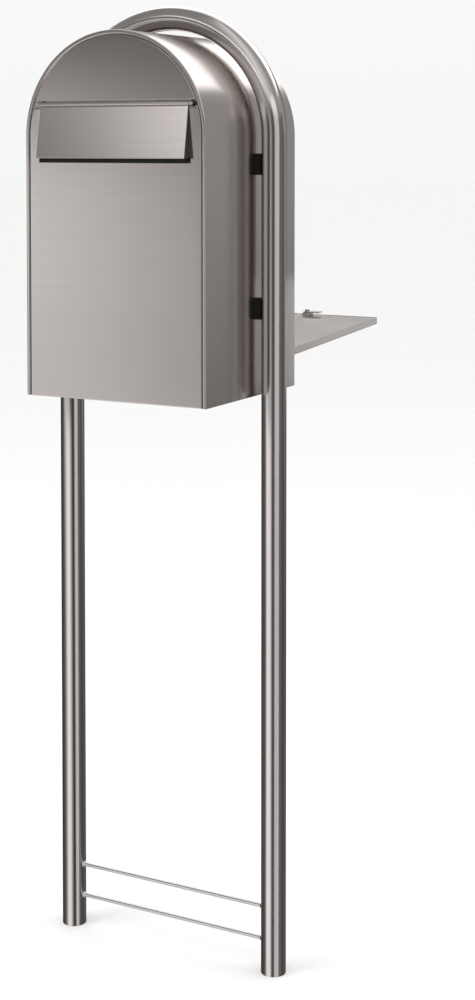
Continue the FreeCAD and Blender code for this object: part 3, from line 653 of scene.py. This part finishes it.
def make_door():
    """The door: a folded pan and the flat liner set in it, built closed and swung open."""
    pivot = Vector(JOINTS["door_hinge"]["pos_m"])
    swing = (Matrix.Translation(pivot) @ Matrix.Rotation(math.radians(DOOR_TILT - 90), 4, "X")
             @ Matrix.Translation(-pivot))
    box_low, box_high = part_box("shell_wrap")
    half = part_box("door_skin")[1][0]
    rear, base = box_high[1], box_low[2]
    thick = 2 * (rear - pivot.y)
    low, top = base + DOOR_LOW, base + DOOR_TOP
    lock = top - LOCK_DROP
    hole = circle((0, lock), LOCK_HOLE, 40, clockwise=True)
    outline = [(-half, low), (half, low), (half, top), (-half, top)]
    shell = pan(outline, [hole], lambda x, z: rear, -1, DOOR_SHEET, lambda x, z: thick, DOOR_BEND)
    stand_in(new_piece("door_pan", *turned(shell, swing)), "door", "door_skin")
    edge = DOOR_SHEET + LINER_FIT
    outline = [(edge - half, low + edge), (half - edge, low + edge), (half - edge, top - edge),
               (edge - half, top - edge)]
    inside = rear - thick + LINER_DROP
    shell = pan(outline, [hole], lambda x, z: inside, 1, PANEL_SHEET, lambda x, z: PANEL_SHEET,
                LINER_BEND)
    stand_in(new_piece("door_lining", *turned(shell, swing)), "door", "door_liner")


# ------------------------------------------------------------------ the stand

def make_tube():
    """The stand: one tube bent to a half ring between two legs, open at its feet."""
    low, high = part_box("stand_tube")
    radius = high[1]
    reach = high[0] - radius
    centre = high[2] - radius - reach
    around, steps = 56, 96

    def ring(size, station):
        """A section ring at a foot (station 0 or last) or along the bend."""
        across = circle((0, 0), size, around)
        if station in (0, steps + 2):
            side = -1 if station == 0 else 1
            return [(side * (reach + out), y, low[2]) for out, y in across]
        angle = math.radians(180 * (station - 1) / steps)
        return [(-(reach + out) * math.cos(angle), y, centre + (reach + out) * math.sin(angle))
                for out, y in across]

    outer = [ring(radius, station) for station in range(steps + 3)]
    inner = [ring(radius - TUBE_WALL, station) for station in range(steps + 3)]
    piece = new_piece("tube", *skin(outer + inner[::-1], wrap=True))
    stand_in(piece, STAND, "stand_tube")


def revolved(profile, centre, around=32):
    """A shell turned about an axis along X, from (x, radius) points."""
    return skin([[(x, centre[1] + size * math.cos(a), centre[2] + size * math.sin(a))
                  for a in (2 * math.pi * index / around for index in range(around))]
                 for x, size in profile])


def make_anchor_rods():
    """The two rods that tie the legs together, with a weld bead where each meets a leg."""
    tube_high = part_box("stand_tube")[1]
    face = tube_high[0] - 2 * tube_high[1]
    for node in ("anchor_rod_lower", "anchor_rod_upper"):
        low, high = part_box(node)
        radius = high[1]
        centre = (0, 0, (low[2] + high[2]) / 2)
        half = [(face + along * MM, radius + swell * MM) for along, swell in WELD_BEAD]
        half.append((high[0], radius))
        profile = [(-x, size) for x, size in half[::-1]] + half
        stand_in(new_piece(node.replace("anchor", "tie"), *revolved(profile, centre)), STAND, node)


# ------------------------------------------------------------------ stage

def make_floor():
    """A pale floor, out to the horizon."""
    mesh = bpy.data.meshes.new("studio_floor")
    half = FLOOR_HALF
    corners = [(-half, -half, 0), (half, -half, 0), (half, half, 0), (-half, half, 0)]
    mesh.from_pydata(corners, [], [(0, 1, 2, 3)])
    plane = bpy.data.objects.new("studio_floor", mesh)
    bpy.context.scene.collection.objects.link(plane)
    mesh.materials.append(floor_paint())
    plane.visible_glossy = False


def make_world():
    """White to the eye; what the steel mirrors is a studio of soft boxes and dark corners."""
    world = bpy.data.worlds.new("studio")
    bpy.context.scene.world = world
    world.use_nodes = True
    world.cycles.sampling_method = "NONE"
    tree = Tree(world.node_tree)
    direction = tree.add("ShaderNodeTexCoord").outputs["Generated"]
    split = tree.add("ShaderNodeSeparateXYZ")
    tree.tree.links.new(direction, split.inputs[0])
    x, y, z = split.outputs
    azimuth = tree.math("MULTIPLY_ADD", tree.math("ARCTAN2", x, tree.math("MULTIPLY", y, -1.0)),
                        1 / (2 * math.pi), 0.5)
    height = tree.math("MULTIPLY_ADD", tree.math("ARCSINE", z), 1 / math.pi, 0.5)

    def around(stops):
        """Brightness by compass angle in degrees from the front, towards +X."""
        return tree.ramp(azimuth, [(0.5 + angle / 360, value) for angle, value in stops])

    def up(stops):
        """Brightness by degrees above the horizon."""
        return tree.ramp(height, [(0.5 + angle / 180, value) for angle, value in stops])

    def blend(factor, below, above):
        """From one brightness to another, each a socket or a colour."""
        mix = tree.add("ShaderNodeMix", data_type="RGBA")
        tree.tree.links.new(factor, mix.inputs["Factor"])
        for socket, value in (("A", below), ("B", above)):
            if isinstance(value, bpy.types.NodeSocket):
                tree.tree.links.new(value, mix.inputs[socket])
            else:
                mix.inputs[socket].default_value = (*value, 1)
        return mix.outputs["Result"]

    level = around([(-180, 0.25), (-160, 0.12), (-100, 0.05), (-80, 0.08), (-62, 0.24), (-48, 0.95),
                    (-37, 1.14), (-35, 1.08), (-32.4, 0.82), (-29.5, 0.53), (-26, 0.36),
                    (-20, 0.52), (-12, 0.62), (0, 0.45), (10, 0.12), (28, 0.06), (50, 0.06),
                    (66, 0.14), (95, 0.20), (120, 0.12), (142, 0.34), (156, 0.42), (165, 0.16),
                    (180, 0.25)])
    low = around([(-180, 0.22), (-160, 0.08), (-100, 0.05), (-80, 0.08), (-62, 0.12), (-50, 0.25),
                  (-43, 0.40), (-37, 0.62), (-34, 0.66), (-30, 0.46), (-26, 0.38), (-20, 0.48),
                  (-12, 0.60), (0, 0.45), (10, 0.12), (28, 0.06), (50, 0.06), (66, 0.14),
                  (95, 0.15), (120, 0.07), (150, 0.15), (165, 0.06), (180, 0.22)])
    dome = around([(-180, 0.10), (-100, 0.05), (-62, 0.16), (-44, 0.16), (-35, 0.13), (-30, 0.10),
                   (-24, 0.09), (-12, 0.25), (0, 0.40), (10, 0.12), (28, 0.06), (50, 0.06),
                   (66, 0.14), (95, 0.20), (120, 0.12), (142, 0.34), (156, 0.42), (165, 0.16),
                   (180, 0.10)])
    high = around([(-180, 0.7), (-120, 0.3), (-60, 0.28), (-20, 0.30), (20, 1.0), (40, 0.7),
                   (90, 0.35), (140, 0.5), (180, 0.7)])
    mirrored = blend(up([(-14, 0.0), (-1, 1.0)]), low, level)
    mirrored = blend(up([(-0.5, 0.0), (2.5, 1.0)]), mirrored, dome)
    mirrored = blend(up([(12.5, 0.0), (14.5, 1.0)]), mirrored, high)
    across = around([(-36.2, 0.0), (-34.6, 0.14), (-33.4, 0.45), (-32.2, 0.85), (-31, 1.0),
                     (0, 1.0), (14, 0.0)])
    glow = tree.math("MULTIPLY", across, up([(12.8, 0.0), (14.5, 1.0), (20, 1.0), (24, 0.0)]))
    mirrored = blend(glow, mirrored, (1.4, 1.4, 1.4))
    mirrored = blend(up([(-50, 1.0), (-35, 0.0)]), mirrored, (0.7, 0.7, 0.7))
    right_rear = around([(-180, 0.0), (110, 0.0), (135, 1.0), (171, 1.0), (175, 0.0), (180, 0.0)])
    left_rear = around([(-180, 1.0), (-130, 1.0), (-110, 0.0), (171, 0.0), (175, 1.0), (180, 1.0)])
    shelf = up([(0, 0.0), (4, 1.0), (23.8, 1.0), (24.6, 0.0)])
    for where, grey in ((right_rear, 0.38), (left_rear, 0.06)):
        mirrored = blend(tree.math("MULTIPLY", where, shelf), mirrored, (grey, grey, grey))
    for where, sill in ((right_rear, [(23.8, 0.0), (24.6, 1.0)]), (left_rear, [(18.5, 0.0), (21, 1.0)])):
        window = tree.math("MULTIPLY", where, up(sill + [(55, 1.0), (75, 0.0)]))
        mirrored = blend(window, mirrored, (1.95, 1.95, 1.95))
    background = tree.add("ShaderNodeBackground")
    path = tree.add("ShaderNodeLightPath")
    seen = blend(up([(0, 0.0), (20, 1.0)]), (0.93, 0.93, 0.93), (1.0, 1.0, 1.0))
    soft = blend(path.outputs["Is Camera Ray"], (1.07, 1.07, 1.07), seen)
    shown = blend(path.outputs["Is Glossy Ray"], soft, mirrored)
    tree.feed(background, Color=shown, Strength=1.0)
    output = tree.add("ShaderNodeOutputWorld")
    tree.tree.links.new(background.outputs[0], output.inputs["Surface"])


def make_light(name, place, target, size, power, glossy):
    """A soft area light aimed at a point, seen by matt surfaces only or by mirroring ones only."""
    data = bpy.data.lights.new(name, "AREA")
    data.shape = "RECTANGLE"
    data.size, data.size_y = size
    data.energy = power
    lamp = bpy.data.objects.new(name, data)
    lamp.location = place
    lamp.rotation_euler = (Vector(target) - Vector(place)).to_track_quat("-Z", "Y").to_euler()
    lamp.visible_camera = False
    lamp.visible_glossy = glossy
    lamp.visible_diffuse = not glossy
    bpy.context.scene.collection.objects.link(lamp)


def make_camera():
    """The photo's viewpoint."""
    data = bpy.data.cameras.new("camera")
    data.lens = CAMERA_LENS
    data.sensor_width = CAMERA_SENSOR
    data.shift_y = CAMERA_SHIFT
    camera = bpy.data.objects.new("camera", data)
    camera.location = CAMERA_PLACE
    camera.rotation_euler = (math.radians(90 - CAMERA_DROP), 0, math.radians(CAMERA_TURN))
    bpy.context.scene.collection.objects.link(camera)
    bpy.context.scene.camera = camera


for make in (make_shell, make_front, make_rear, make_flap, make_door, make_tube, make_anchor_rods):
    make()
dress_nodes()
make_floor()
make_world()
for row in LIGHTS:
    make_light(*row)
make_camera()
bpy.context.scene.view_settings.view_transform = "Standard"
